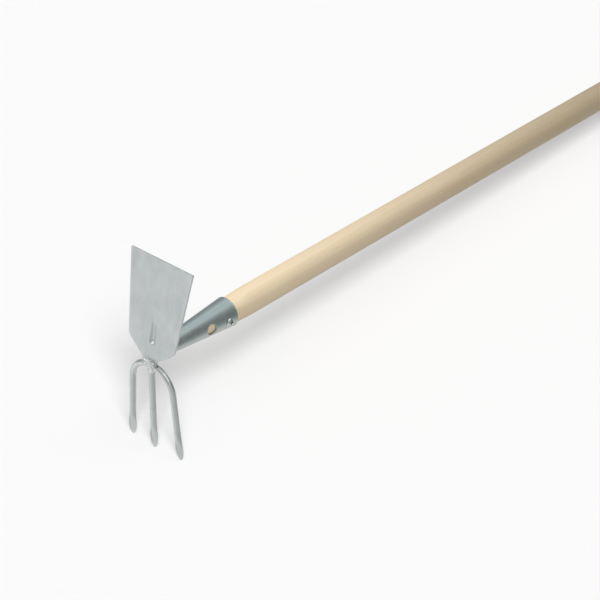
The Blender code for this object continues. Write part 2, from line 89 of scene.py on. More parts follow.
def joinRings(faces, a, b, count):
    # Band of faces between two rings of points, given where each starts
    for k in range(count):
        n = (k + 1) % count
        faces.append((a + k, a + n, b + n, b + k))


def loft(name, rings, startTip=None, endTip=None, loop=False):
    # Skin over rings of equal count; a loop has no ends, and an end without a tip gets a flat cap
    count = len(rings[0])
    points = [p for ring in rings for p in ring]
    faces = []
    for i in range(len(rings) if loop else len(rings) - 1):
        joinRings(faces, i * count, (i + 1) % len(rings) * count, count)
    if loop:
        return solid(name, points, faces)
    for first, tip in ((0, startTip), ((len(rings) - 1) * count, endTip)):
        if tip is None:
            faces.append(tuple(range(first, first + count)))
            continue
        points.append(tip)
        faces += [(first + k, first + (k + 1) % count, len(points) - 1) for k in range(count)]
    return solid(name, points, faces)


def around(count):
    # Evenly spaced angles of a full turn
    return [2 * pi * k / count for k in range(count)]


def turned(name, profile, sides, loop=False, place=None):
    # Profile of (radius, along), turned about X, or about the X of another place
    place = place or Matrix.Identity(4)
    turns = [turn - pi / 2 for turn in around(sides)]
    rings = []
    for radius, along in profile:
        rings.append([place @ Vector((along, radius * cos(a), radius * sin(a))) for a in turns])
    first = place @ Vector((profile[0][1], 0, 0))
    last = place @ Vector((profile[-1][1], 0, 0))
    return loft(name, rings, first, last, loop)


def block(low, high, place=None):
    # Cutter between two corners of a frame
    place = place or Matrix.Identity(4)
    rings = []
    for x in (low[0], high[0]):
        ring = [(x, low[1], low[2]), (x, high[1], low[2]), (x, high[1], high[2]), (x, low[1], high[2])]
        rings.append([place @ Vector(p) for p in ring])
    return loft("block", rings)


def settle(item):
    # Apply what the modifiers make
    bpy.context.view_layer.update()
    graph = bpy.context.evaluated_depsgraph_get()
    made = bpy.data.meshes.new_from_object(item.evaluated_get(graph))
    old = item.data
    item.modifiers.clear()
    item.data = made
    bpy.data.meshes.remove(old)


def carve(item, *cutters, operation="DIFFERENCE"):
    # Cut, or join, one helper object after another, and drop it
    for cutter in cutters:
        step = item.modifiers.new("carve", "BOOLEAN")
        step.operation = operation
        step.object = cutter
        step.solver = "EXACT"
        settle(item)
        bpy.data.objects.remove(cutter)


def cleaned(item):
    # Drop the slivers that cutting and joining leave behind
    shape = bmesh.new()
    shape.from_mesh(item.data)
    bmesh.ops.remove_doubles(shape, verts=shape.verts, dist=sliverSize)
    bmesh.ops.dissolve_degenerate(shape, edges=shape.edges, dist=sliverSize)
    bmesh.ops.delete(shape, geom=[e for e in shape.edges if not e.link_faces], context="EDGES")
    shape.to_mesh(item.data)
    shape.free()


pieces = []


def keepPiece(item, node, material, sharp=35):
    # Shade it, lay it in place, and let it stand for its solid
    item.data.transform(toolPlace @ Matrix.Scale(mm, 4))
    item.data.materials.clear()
    item.data.materials.append(material)
    item.data.shade_smooth()
    item.data.set_sharp_from_angle(angle=radians(sharp))
    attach(item, "root")
    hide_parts(node)
    pieces.append(item)
    print("double hoe:", item.name, "made,", len(item.data.polygons), "faces")


def arcSteps(start, end, count):
    # Evenly spaced angles in radians, between two given in degrees
    return [radians(start + (end - start) * k / count) for k in range(count + 1)]


def rounded(radius, count, end=90):
    # A corner's rounding in steps: how far each lies in from the first face, and from the second
    return [(radius * (1 - cos(a)), radius * (1 - sin(a))) for a in arcSteps(0, end, count)]


def ease(share):
    # Soft start and end for a share from 0 to 1
    share = min(max(share, 0.0), 1.0)
    return share * share * (3 - 2 * share)


def between(a, b, share):
    return a + (b - a) * share


# Material helpers

def newMaterial(name, metallic):
    material = bpy.data.materials.new(name)
    material.use_nodes = True
    material.node_tree.nodes["Principled BSDF"].inputs["Metallic"].default_value = metallic
    return material, material.node_tree


def addNode(tree, kind, values=None, sources=None, **settings):
    item = tree.nodes.new("ShaderNode" + kind)
    for key, value in settings.items():
        setattr(item, key, value)
    for key, value in (values or {}).items():
        item.inputs[key].default_value = value
    for key, source in (sources or {}).items():
        tree.links.new(source, item.inputs[key])
    return item


def mapped(tree, source, values):
    return addNode(tree, "Mapping", values, {"Vector": source}, vector_type="TEXTURE").outputs[0]


def toolSpace(tree, size=(1, 1, 1), turn=(0, 0, 0), place=(0, 0, 0)):
    # The tool's own coordinates, whose unit is the given size in millimetres along each axis
    source = addNode(tree, "TexCoord").outputs["Object"]
    laid = mapped(tree, source, {"Location": toolOrigin, "Rotation": (0, tilt, 0)})
    return mapped(tree, laid, {"Location": place, "Rotation": turn, "Scale": [s * mm for s in size]})


def rodSpace(tree, size=(1, 1, 1)):
    # Place on the rod as if it were straight, so that streaks follow its bend
    source = addNode(tree, "Attribute", attribute_name="straightRod").outputs["Vector"]
    return mapped(tree, source, {"Scale": size})


def axes(tree, vector):
    return addNode(tree, "SeparateXYZ", None, {"Vector": vector}).outputs


def cloudy(tree, size, detail, rough, warp=0.0, space=toolSpace, **where):
    # Noise whose blotches are about as large as the given size
    values = {"Scale": 1.0, "Detail": detail, "Roughness": rough, "Distortion": warp}
    return addNode(tree, "TexNoise", values, {"Vector": space(tree, size, **where)}).outputs["Fac"]


def spread(tree, source, low, high, toLow=0, toHigh=1, smooth=False):
    # Map one range of values to another, and hold the ends
    values = {"From Min": low, "From Max": high, "To Min": toLow, "To Max": toHigh}
    kind = "SMOOTHSTEP" if smooth else "LINEAR"
    return addNode(tree, "MapRange", values, {"Value": source}, interpolation_type=kind).outputs["Result"]


def reckon(tree, operation, a, b=0):
    item = addNode(tree, "Math", operation=operation)
    for socket, value in zip(item.inputs, (a, b)):
        if isinstance(value, (int, float)):
            socket.default_value = value
        else:
            tree.links.new(value, socket)
    return item.outputs[0]


def tinted(tree, share, a, b, kind="MIX"):
    # Mix of two colours, each a plain colour or another node's output
    item = addNode(tree, "Mix", data_type="RGBA", blend_type=kind)
    for socket, value in ((item.inputs["Factor"], share), (item.inputs[6], a), (item.inputs[7], b)):
        if isinstance(value, (int, float)):
            socket.default_value = value
        elif isinstance(value, tuple):
            socket.default_value = (*value, 1.0)
        else:
            tree.links.new(value, socket)
    return item.outputs[2]


def weighed(tree, *parts):
    # Sum of outputs, each multiplied by its weight
    total = None
    for source, weight in parts:
        part = reckon(tree, "MULTIPLY", source, weight)
        total = part if total is None else reckon(tree, "ADD", total, part)
    return total


def dress(tree, colour, rough, height, depth):
    # Wire up the finish; the bump's depth is in millimetres for a height of 1
    bump = addNode(tree, "Bump", {"Distance": depth * mm}, {"Height": height})
    shader = tree.nodes["Principled BSDF"]
    for key, source in (("Base Color", colour), ("Roughness", rough), ("Normal", bump.outputs["Normal"])):
        tree.links.new(source, shader.inputs[key])


# Blade: flared sheet with a groove pressed into its front above the neck

blade = {
    "thickness": 2.0,
    "lean": 12.5,  # degrees, towards the handle
    "length": 102.0,
    "cuttingWidth": 78.2,
    "shoulderWidth": 58.8,
    "shoulderHeight": 19.4,
    "neckWidth": 16.8,
    "neckHeight": 4.3,
    "cuttingCorner": 0.8,
    "shoulderCorner": 9.0,
    "neckCorner": 3.0,
    "edgeRounding": 0.3,
    "grooveRadius": 4.4,  # half its width at the nose
    "grooveFloor": 0.75,  # half the width of its floor
    "grooveLength": 25.5,
    "grooveRise": 19.4,  # from the foot to the nose
    "grooveAside": -0.7,  # from the blade's middle to its own
    "grooveDepth": 1.9,
    "grooveTaper": 0.3,  # share of the width that is lost towards the top
    "grooveFade": 1.7,  # more keeps it deep for longer
    "noseSteep": 1.1,  # more is a shorter nose
    "nosePit": 0.35,  # extra depth where the punch ended
    "pitSpread": 2.4,
    "ridgeRadius": 5.0,  # of the ridge that the groove leaves on the back
    "ridgeHeight": 1.6,
    "zinc": (0.583, 0.605, 0.605),
    "dullZinc": (0.547, 0.568, 0.568),
    "wornZinc": (0.65, 0.67, 0.67),
    "roughness": (0.36, 0.50),
    "blotchSize": (24, 17, 20),
    "streakSize": (40, 2.4, 38),
    "grainSize": (0.7, 0.5, 0.9),
    "rubbedMargin": (3.2, 1.0),  # from the side edge: where the wear begins, and where it is full
    "bump": 0.02,
}
bladeLean = radians(blade["lean"])
bladePlace = Matrix.Rotation(bladeLean, 4, "Y")
cornerSteps = 8
edgeSteps = 4
edgeSupport = 0.12  # a row this near the rounded edge keeps the flat faces flat
closeBelow = 4.0  # closer rows start this far below the groove
closeAbove = 3.0  # and end this far above it
closeRow = 0.45
wideRow = 2.5
closeColumns = [0.3 * k for k in range(18)] + [5.8, 6.6]  # from the middle to past the groove
wideColumns = 9  # from there to the edge


def neckFoot():
    # Height along the blade at which its back corner meets the arch
    reach = rodRadius + gap
    return barZ * cos(bladeLean) + sqrt(reach ** 2 - (barZ * sin(bladeLean)) ** 2)


def bladeSide():
    # Right half of the outline from the foot to the cutting edge: (point, outward normal)
    foot = neckFoot()
    top = foot + blade["length"] - boxMargin
    neck = blade["neckWidth"] / 2
    line = [(0, foot), (neck, foot), (neck, foot + blade["neckHeight"]),
            (blade["shoulderWidth"] / 2, foot + blade["shoulderHeight"]),
            (blade["cuttingWidth"] / 2 - boxMargin, top), (0, top)]
    line = [Vector(p) for p in line]
    radii = [blade[key] for key in ("edgeRounding", "neckCorner", "shoulderCorner", "cuttingCorner")]
    outline = []
    for below, here, above, radius in zip(line, line[1:], line[2:], radii):
        before = (below - here).normalized()
        after = (above - here).normalized()
        half = before.angle(after) / 2
        convex = before.cross(after) < 0
        centre = here + (before + after).normalized() * radius / sin(half)
        start = here + before * radius / tan(half) - centre
        end = here + after * radius / tan(half) - centre
        sweep = start.angle_signed(end)
        for k in range(cornerSteps + 1):
            arm = start.copy()
            arm.rotate(Matrix.Rotation(-sweep * k / cornerSteps, 2))
            outline.append((centre + arm, (arm if convex else -arm).normalized()))
    return outline


def bladeRows():
    # The same outline with extra points, closer together beside the groove
    outline = bladeSide()
    nose = neckFoot() + blade["grooveRise"]
    lowest = nose - closeBelow
    highest = nose + blade["grooveLength"] + closeAbove
    full = [outline[0]]
    for i, ((a, aNormal), (b, bNormal)) in enumerate(zip(outline, outline[1:])):
        length = (b - a).length
        row = closeRow if lowest < b.y and a.y < highest else wideRow
        count = max(1, ceil(length / row))
        shares = [k / count for k in range(1, count + 1)]
        if i == cornerSteps:
            shares.insert(0, edgeSupport / length)
        for share in shares:
            full.append((a.lerp(b, share), aNormal.lerp(bNormal, share).normalized()))
    return full


def pressedIn(y, z, radius, depth):
    # Depth of the groove at a place: steep round nose below, shallower and narrower upwards
    reach = blade["grooveRadius"] / blade["noseSteep"]
    run = blade["grooveLength"] - reach
    up = z - (neckFoot() + blade["grooveRise"] + reach)
    y -= blade["grooveAside"]
    tail = min(max(up / run, 0.0), 1.0)
    away = hypot(y, min(up, 0.0) * blade["noseSteep"])
    wide = radius * (1 - blade["grooveTaper"] * tail)
    if away >= wide or up > run:
        return 0.0
    wall = ease((away - blade["grooveFloor"]) / (wide - blade["grooveFloor"]))
    nosePit = blade["nosePit"] * depth / blade["grooveDepth"]
    pit = nosePit * exp(-(y * y + up * up) / blade["pitSpread"])
    return depth * (1 - tail ** blade["grooveFade"]) * (1 - wall) + pit


def acrossBlade(width):
    # Where the columns of a row lie, from one side to the other
    half = list(closeColumns)
    for k in range(1, wideColumns + 1):
        half.append(between(closeColumns[-1], width - edgeSupport, k / wideColumns))
    half.append(width)
    return [-y for y in reversed(half[1:])] + half


def bladeFace(points, faces, rows, level, radius, depth):
    # One face of the sheet, with the groove or its ridge
    base = len(points)
    columns = len(acrossBlade(rows[0].x))
    for row in rows:
        for y in acrossBlade(row.x):
            points.append((level + pressedIn(y, row.y, radius, depth), y, row.y))
    for i in range(len(rows) - 1):
        for k in range(columns - 1):
            a = base + i * columns + k
            faces.append((a, a + 1, a + columns + 1, a + columns))


def bladeRim(points, faces, side, rows):
    # The outline's loop, swept round the sheared edge
    inset = blade["edgeRounding"]
    thick = blade["thickness"]
    loop = list(side)
    loop += [(Vector((y, rows[-1].y)), Vector((0, 1))) for y in reversed(acrossBlade(rows[-1].x)[1:-1])]
    loop += [(Vector((-q.x, q.y)), Vector((-n.x, n.y))) for q, n in reversed(side)]
    loop += [(Vector((y, rows[0].y)), Vector((0, -1))) for y in acrossBlade(rows[0].x)[1:-1]]
    steps = arcSteps(0, 90, edgeSteps)
    rim = [(inset * sin(a), -thick + inset * (1 - cos(a))) for a in steps]
    rim += [(inset * sin(a), -inset * (1 - cos(a))) for a in reversed(steps)]
    base = len(points)
    for out, x in rim:
        for q, n in loop:
            p = q + n * out
            points.append((x, p.x, p.y))
    for i in range(len(rim) - 1):
        joinRings(faces, base + i * len(loop), base + (i + 1) * len(loop), len(loop))


def makeBlade(material):
    side = [(p - n * blade["edgeRounding"], n) for p, n in bladeRows()]
    rows = []
    for q, n in side:
        if not rows or q.y - rows[-1].y > mergeDistance:
            rows.append(q)
    points = []
    faces = []
    bladeFace(points, faces, rows, -blade["thickness"], blade["grooveRadius"], blade["grooveDepth"])
    bladeFace(points, faces, rows, 0.0, blade["ridgeRadius"], blade["ridgeHeight"])
    bladeRim(points, faces, side, rows)
    item = solid("flaredBlade", points, faces)
    item.data.transform(bladePlace)
    keepPiece(item, "blade", material, 50)


def sheetZinc():
    # Dull zinc with soft blotches, lengthwise rolling streaks and paler rubbed margins
    material, tree = newMaterial("galvanisedSheet", 1.0)
    turn = (0, bladeLean, 0)
    blotches = cloudy(tree, blade["blotchSize"], 5, 0.6, 0.8, turn=turn)
    streaks = cloudy(tree, blade["streakSize"], 3, 0.6, turn=turn, place=(0.3, 0, 0))
    grain = cloudy(tree, blade["grainSize"], 2, 0.6, turn=turn)
    # Distance from the slanted side edge, a little uneven
    place = axes(tree, toolSpace(tree, turn=turn))
    slope = (blade["cuttingWidth"] - blade["shoulderWidth"]) / 2 / (blade["length"] - blade["shoulderHeight"])
    edge = blade["shoulderWidth"] / 2 - slope * (neckFoot() + blade["shoulderHeight"])
    limit = reckon(tree, "ADD", reckon(tree, "MULTIPLY", place["Z"], slope), edge)
    margin = reckon(tree, "SUBTRACT", limit, reckon(tree, "ABSOLUTE", place["Y"]))
    uneven = reckon(tree, "ADD", margin, spread(tree, streaks, 0.3, 0.7, -1.2, 1.2))
    rubbed = spread(tree, uneven, *blade["rubbedMargin"], 0, 0.5, True)
    base = tinted(tree, spread(tree, blotches, 0.35, 0.65), blade["dullZinc"], blade["zinc"])
    streaked = tinted(tree, spread(tree, streaks, 0.38, 0.7, 0, 0.22), base, blade["wornZinc"])
    final = tinted(tree, rubbed, streaked, blade["wornZinc"])
    low, high = blade["roughness"]
    rough = spread(tree, blotches, 0.3, 0.7, high, low)
    dress(tree, final, rough, weighed(tree, (streaks, 0.3), (grain, 0.35)), blade["bump"])
    return material


# Socket: rolled cone with an open seam underneath, a screw hole and a round window

socket = {
    "length": 98.5,
    "mouthRadius": 15.0,
    "wall": 1.5,
    "lip": 0.4,  # rounding of the mouth
    "seamWidth": 1.0,
    "footGap": 0.06,  # to the blade's back
    "windowRadius": 5.4,
    "windowInset": 31.8,  # its middle, from the mouth
    "windowEdge": 0.25,  # rounding of its cut edge
    "sides": 144,
    "windowSides": 72,
    "ringStep": 1.9,
    "plate": (0.43, 0.505, 0.495),
    "paleSteel": (0.50, 0.56, 0.55),
    "roughness": (0.22, 0.30),
    "cloudSize": (22, 9, 9),
    "brushSize": (0.5, 14, 14),
    "speckSize": (0.6, 0.6, 0.6),
    "bump": 0.012,
}
socketSlope = (socket["mouthRadius"] - footRadius) / socket["length"]


def socketRadius(x):
    # Outside radius at a distance from the blade
    return footRadius + socketSlope * x


def windowCutter():
    # Follows the cone, so that the hole's cut edge is rounded evenly
    middle = socket["length"] - socket["windowInset"]
    edge = socket["windowEdge"]
    steps = [(0.0, None), (0.0, -4 * edge)]
    steps += [(wider, -below) for wider, below in rounded(edge, 4, 75)]
    steps += [(2.5 * edge, edge), (2.5 * edge, None)]
    rings = []
    for i, (wider, out) in enumerate(steps):
        radius = socket["windowRadius"] + wider
        ring = []
        for turn in around(socket["windowSides"]):
            x = middle + radius * cos(turn)
            z = radius * sin(turn)
            if out is None:
                y = 0.0 if i == 0 else -2 * socket["mouthRadius"]
            else:
                y = -sqrt((socketRadius(x) + out) ** 2 - z ** 2)
            ring.append(Vector((x, y, z)))
        rings.append(ring)
    return loft("windowCutter", rings)


def makeSocket(material):
    end = socket["length"]
    lip = socket["lip"]
    wall = socket["wall"]
    outer = []
    inner = []
    x = -footRadius
    while x < end - lip:
        outer.append((socketRadius(x), x))
        inner.append((socketRadius(x) - wall, x))
        x += socket["ringStep"]
    mouth = [(socketRadius(end) - a, end - b) for a, b in rounded(lip, 4)]
    mouth += [(socketRadius(end) - wall + b, end - a) for a, b in rounded(lip, 4)]
    item = turned("rolledSocket", outer + mouth + inner[::-1], socket["sides"], loop=True)
    far = 2 * end
    front = block((-far, -far, -far), (socket["footGap"], far, far), bladePlace)
    seam = block((-far, -socket["seamWidth"] / 2, -far), (far, socket["seamWidth"] / 2, 0))
    carve(item, front, seam, windowCutter(), screwBore())
    cleaned(item)
    keepPiece(item, "socket", material)


def socketPlate():
    # Cool zinc plate, faintly brushed round the cone, a little paler in soft random patches and specks
    material, tree = newMaterial("socketPlate", 1.0)
    clouds = cloudy(tree, socket["cloudSize"], 4, 0.55, 0.4)
    brushed = cloudy(tree, socket["brushSize"], 2, 0.5)
    specks = cloudy(tree, socket["speckSize"], 2, 0.7)
    base = tinted(tree, spread(tree, clouds, 0.4, 0.68, 0, 0.6), socket["plate"], socket["paleSteel"])
    final = tinted(tree, spread(tree, specks, 0.66, 0.74, 0, 0.35), base, socket["paleSteel"])
    rough = spread(tree, clouds, 0.35, 0.7, *socket["roughness"])
    dress(tree, final, rough, weighed(tree, (brushed, 0.5), (specks, 0.2)), socket["bump"])
    return material


# Handle: turned ash pole

handle = {
    "radius": 14.0,
    "swell": 25.0,  # length over which it grows outside the socket
    "tipInset": 25.0,  # from the blade to the wood's tip
    "tipFree": 0.9,  # room round the tip in the socket
    "tipChamfer": 0.8,
    "buttRounding": 5.0,
    "endCircles": (3.0, 0.8),  # radii of the innermost rings on the flat ends
    "sides": 120,
    "earlyWood": (0.74, 0.575, 0.36),
    "lateWood": (0.86, 0.715, 0.50),
    "warmBand": (0.80, 0.60, 0.35),
    "pore": (0.56, 0.41, 0.24),
    "ringWidth": 1.7,
    "pith": (0.0, 31.0, -52.0),  # the tree's middle, beside the pole
    "pithTurn": (0, 0.45, -0.5),  # its slant to the pole, in degrees
    "wander": 4.0,  # by which the rings stray from round
    "wanderSize": (620, 60, 60),
    "fibreSize": (26, 0.45, 0.45),
    "poreSize": (5.5, 0.22, 0.22),
    "patchSize": (160, 24, 24),
    "roughness": (0.48, 0.62),
    "bump": 0.05,
}


def makeHandle(material):
    mouth = socket["length"]
    mouthRadius = socketRadius(mouth) - socket["wall"] - gap
    tip = handle["tipInset"]
    tipRadius = socketRadius(tip) - socket["wall"] - handle["tipFree"]
    chamfer = handle["tipChamfer"]
    radius = handle["radius"]
    rounding = handle["buttRounding"]
    wider, centre = handle["endCircles"]
    end = buttX - boxMargin
    profile = [(centre, tip), (tipRadius - chamfer, tip), (tipRadius, tip + chamfer)]
    for k in range(1, 7):
        profile.append((between(tipRadius, mouthRadius, k / 6), between(tip + 1, mouth, k / 6)))
    for k in range(1, 17):
        profile.append((between(mouthRadius, radius, ease(k / 16)), mouth + handle["swell"] * k / 16))
    start = mouth + handle["swell"]
    profile += [(radius, between(start, end - rounding - 0.4, k / 24)) for k in range(1, 25)]
    profile += [(radius - a, end - b) for a, b in rounded(rounding, 12)]
    profile += [(radius - rounding - 0.5, end), (wider, end), (centre, end)]
    item = turned("ashHandle", profile, handle["sides"])
    carve(item, screwBore())
    keepPiece(item, "handle", material, 50)


def ashWood():
    # Growth rings about a pith beside the pole, with open pores drawn out along the grain
    material, tree = newMaterial("ashWood", 0.0)
    turn = tuple(radians(a) for a in handle["pithTurn"])
    pith = tuple(c * mm for c in handle["pith"])
    wander = cloudy(tree, handle["wanderSize"], 2, 0.5)
    place = axes(tree, toolSpace(tree, turn=turn, place=pith))
    flat = addNode(tree, "CombineXYZ", None, {"Y": place["Y"], "Z": place["Z"]})
    away = addNode(tree, "VectorMath", None, {0: flat.outputs[0]}, operation="LENGTH").outputs["Value"]
    strayed = spread(tree, wander, 0.2, 0.8, -handle["wander"], handle["wander"])
    turns = reckon(tree, "MULTIPLY", reckon(tree, "ADD", away, strayed), 1 / handle["ringWidth"])
    ring = reckon(tree, "FRACT", turns)
    # Each ring starts open-pored and darker, and ends dense and pale
    early = spread(tree, ring, 0.0, 0.55, 1, 0, True)
    rise = spread(tree, ring, 0.93, 1.0, 0, 1, True)
    band = reckon(tree, "MAXIMUM", early, rise)
    fibre = cloudy(tree, handle["fibreSize"], 3, 0.6)
    pores = cloudy(tree, handle["poreSize"], 1, 0.5)
    patches = cloudy(tree, handle["patchSize"], 3, 0.55, place=(0.4, 0, 0))
    base = tinted(tree, reckon(tree, "MULTIPLY", band, 0.24), handle["lateWood"], handle["earlyWood"])
    warm = tinted(tree, spread(tree, patches, 0.45, 0.75, 0, 0.40, True), base, handle["warmBand"])
    fibred = tinted(tree, spread(tree, fibre, 0.30, 0.72, 0.16, 0), warm, handle["earlyWood"])
    opened = spread(tree, pores, 0.60, 0.68, 0, 1, True)
    poreMask = reckon(tree, "MULTIPLY", opened, spread(tree, band, 0, 1, 0.12, 0.6))
    final = tinted(tree, reckon(tree, "MULTIPLY", poreMask, 0.55), fibred, handle["pore"])
    rough = spread(tree, fibre, 0.3, 0.7, *handle["roughness"])
    dress(tree, final, rough, weighed(tree, (fibre, 0.35), (poreMask, -0.65)), handle["bump"])
    return material


# Screw: pan head with a cross recess, square to the cone

screw = {
    "inset": 10.6,  # from the socket's mouth
    "length": 22.0,
    "radius": 2.2,
    "point": 5.0,
    "headRadius": 4.0,
    "headHeight": 2.7,
    "headRim": 0.35,  # share of that height that is upright
    "headBevel": 0.15,
    "seat": 0.05,  # from the socket's surface to the head
    "sides": 72,
    "boreSides": 48,
    "boreReach": 30.0,  # of the cutter, beyond the surface
    "recessSpan": 6.2,
    "recessWidth": 1.15,
    "recessDepth": 2.2,
    "recessFloor": 0.8,  # share of the span that is left at the bottom
    "recessTurn": 70.0,
    "zinc": (0.56, 0.60, 0.59),
    "brightZinc": (0.68, 0.71, 0.70),
    "roughness": (0.08, 0.20),
    "cloudSize": (1.5, 1.5, 1.5),
    "bump": 0.02,
}


def screwPlace():
    # Its X points out of the socket's surface, towards -Y
    x = socket["length"] - screw["inset"]
    slant = atan(socketSlope)
    out = Vector((-sin(slant), -cos(slant), 0))
    up = Vector((0, 0, 1))
    place = Matrix((out, up.cross(out), up)).transposed().to_4x4()
    place.translation = (x, -socketRadius(x), 0)
    return place


def screwBore():
    # Cutter for its hole, which leaves the usual gap round the shank
    radius = screw["radius"] + gap
    profile = [(radius, -screw["length"] - gap), (radius, screw["boreReach"])]
    return turned("bore", profile, screw["boreSides"], place=screwPlace())


def makeScrew(material):
    head = screw["headRadius"]
    top = screw["headHeight"]
    rim = top * screw["headRim"]
    seat = screw["seat"]
    bevel = screw["headBevel"]
    shank = screw["radius"]
    tip = -screw["length"]
    shoulder = tip + screw["point"]
    profile = [(0.3, tip), (shank * 0.9, shoulder), (shank, shoulder + 0.5), (shank, seat)]
    profile += [(head - bevel, seat), (head, seat + bevel), (head, rim * 0.9)]
    for a in arcSteps(0, 90, 14)[1:-1]:
        profile.append((head * cos(a) ** 0.72, rim + (top - rim) * sin(a) ** 1.1))
    item = turned("panHeadScrew", profile + [(0.2, top)], screw["sides"], place=screwPlace())
    wide = screw["recessSpan"] / 2
    slim = screw["recessWidth"] / 2
    for turn in (screw["recessTurn"], screw["recessTurn"] + 90):
        place = screwPlace() @ Matrix.Rotation(radians(turn), 4, "X")
        rings = []
        for x, scale in ((top - screw["recessDepth"], screw["recessFloor"]), (top + 0.2, 1.0)):
            corners = [(-wide, -slim), (wide, -slim), (wide, slim), (-wide, slim)]
            rings.append([place @ Vector((x, y * scale, z * scale)) for y, z in corners])
        carve(item, loft("recess", rings))
    keepPiece(item, "socket_screw", material, 30)


def brightZinc():
    # Bright plating, paler and darker in small random patches
    material, tree = newMaterial("screwZinc", 1.0)
    clouds = cloudy(tree, screw["cloudSize"], 3, 0.6)
    final = tinted(tree, spread(tree, clouds, 0.4, 0.65), screw["zinc"], screw["brightZinc"])
    low, high = screw["roughness"]
    dress(tree, final, spread(tree, clouds, 0.35, 0.7, high, low), clouds, screw["bump"])
    return material


# Fork: an arched rod for the outer tines, and a straight one between them, all with forged tips

fork = {
    "barFlat": 1.7,  # half of the arch's straight top
    "archRadius": 24.6,
    "splay": 4.7,  # degrees, like the leans, which are towards the handle
    "outerLean": 0.6,
    "centreLean": -1.0,
    "depth": 103.0,  # from the socket's axis to the floor under the outer tips
    "centreLift": 1.2,  # from the floor to the centre tip
    "spearLength": 28.0,
    "spearTaper": 12.8,  # from the widest place to the tip
    "spearHalfWidth": 5.2,
    "spearHalfThickness": 2.29,
    "spearEdge": 1.06,  # 2 is an oval section, 1 a diamond
    "spearBelly": 1.8,  # more keeps it full for longer
    "spearBluntness": 0.55,  # less is a rounder tip
    "sides": 44,
    "archSteps": 40,
    "spearSteps": 16,
    "zinc": (0.57, 0.605, 0.595),
    "dullZinc": (0.50, 0.535, 0.525),
    "brightZinc": (0.64, 0.66, 0.65),
    "roughness": (0.12, 0.33),
    "polish": (26, 42),  # along the rod from the arch's middle, where the smooth bend fades out
    "streakSize": (0.9, 0.9, 30),
    "patchSize": (5, 5, 16),
    "grainSize": (0.5, 0.5, 0.8),
    "bump": 0.035,
}
centreAlong = -200  # keeps the finish of the centre tine apart from that of the bent rod


def leaning(degrees):
    # Place of a rod whose top is at the arch's middle
    return Matrix.Translation((0, 0, barZ)) @ Matrix.Rotation(-radians(degrees), 4, "Y")


def tineDrop(lean, lift):
    # From the arch's middle down a leaning tine, to a height above the floor
    depth = fork["depth"] + barZ - lift
    return depth / (cos(lean) + sin(lean) * tan(tilt))


def spearSection(distance):
    # Half width, half thickness and edge at a distance below the start of the forged tip
    swell = fork["spearLength"] - fork["spearTaper"]
    share = ease(distance / swell)
    width = between(rodRadius, fork["spearHalfWidth"], share)
    thickness = between(rodRadius, fork["spearHalfThickness"], share)
    edge = between(2.0, fork["spearEdge"], share)
    if distance > swell:
        run = (distance - swell) / fork["spearTaper"]
        close = (1 - run ** fork["spearBelly"]) ** fork["spearBluntness"]
        width *= close
        thickness *= close
    return width, thickness, edge


def rodRing(middle, outward, distance):
    width, thickness, edge = spearSection(distance)
    ring = []
    for turn in around(fork["sides"]):
        c = cos(turn)
        s = sin(turn)
        x = thickness * copysign(abs(c) ** (2 / edge), c)
        y = width * copysign(abs(s) ** (2 / edge), s)
        ring.append(middle + Vector((x, 0, 0)) + outward * y)
    return ring


def spearStations():
    count = fork["spearSteps"]
    swell = fork["spearLength"] - fork["spearTaper"]
    stations = [swell * k / count for k in range(count + 1)]
    stations += [swell + fork["spearTaper"] * sin(pi / 2 * k / count) for k in range(1, count)]
    return stations


def archStations():
    # Half of the outer rod, from the middle of the arch to one tip: (middle, outward, into the spear, along)
    splay = radians(fork["splay"])
    radius = fork["archRadius"]
    centre = Vector((0, fork["barFlat"], -radius))
    stations = [(Vector(), Vector((0, 0, 1)), 0.0, 0.0)]
    for a in arcSteps(0, 90 - fork["splay"], fork["archSteps"]):
        outward = Vector((0, sin(a), cos(a)))
        stations.append((centre + outward * radius, outward, 0.0, fork["barFlat"] + radius * a))
    end, outward, _, along = stations[-1]
    down = Vector((0, sin(splay), -cos(splay)))
    drop = end.z + tineDrop(radians(fork["outerLean"]), 0.0) - boxMargin
    shank = drop / cos(splay) - fork["spearLength"]
    runs = [(shank * k / 12, 0.0) for k in range(1, 12)]
    runs += [(shank + distance, distance) for distance in spearStations()]
    for run, distance in runs:
        stations.append((end + down * run, outward, distance, along + run))
    return stations, end + down * (shank + fork["spearLength"])


def spot(p):
    # Key of a place, rounded so that it is found again in the finished mesh
    return tuple(round(c, 2) for c in p)


def straightened(k, along):
    # Where a ring's point would lie on the straight rod
    turn = 2 * pi * k / fork["sides"]
    return rodRadius * cos(turn), rodRadius * sin(turn), along


def keepRodPlaces(item, places):
    # Each point's place on the straightened rod, for the finish
    store = item.data.attributes.new("straightRod", "FLOAT_VECTOR", "POINT")
    for i, vertex in enumerate(item.data.vertices):
        store.data[i].vector = places.get(spot(vertex.co), (0, 0, 0))


def makeOuterTines(material):
    half, tip = archStations()

    def flip(p):
        return Vector((p.x, -p.y, p.z))

    whole = [(flip(m), flip(o), d, -s) for m, o, d, s in reversed(half[1:])] + half
    end = whole[-1][3]
    places = {spot(tip): (0, 0, end), spot(flip(tip)): (0, 0, -end)}
    rings = []
    for middle, outward, distance, along in whole:
        ring = rodRing(middle, outward, distance)
        places.update((spot(p), straightened(k, along)) for k, p in enumerate(ring))
        rings.append(ring)
    item = loft("archedTines", rings, flip(tip), tip)
    keepRodPlaces(item, places)
    item.data.transform(leaning(fork["outerLean"]))
    keepPiece(item, "outer_tines", material, 38)


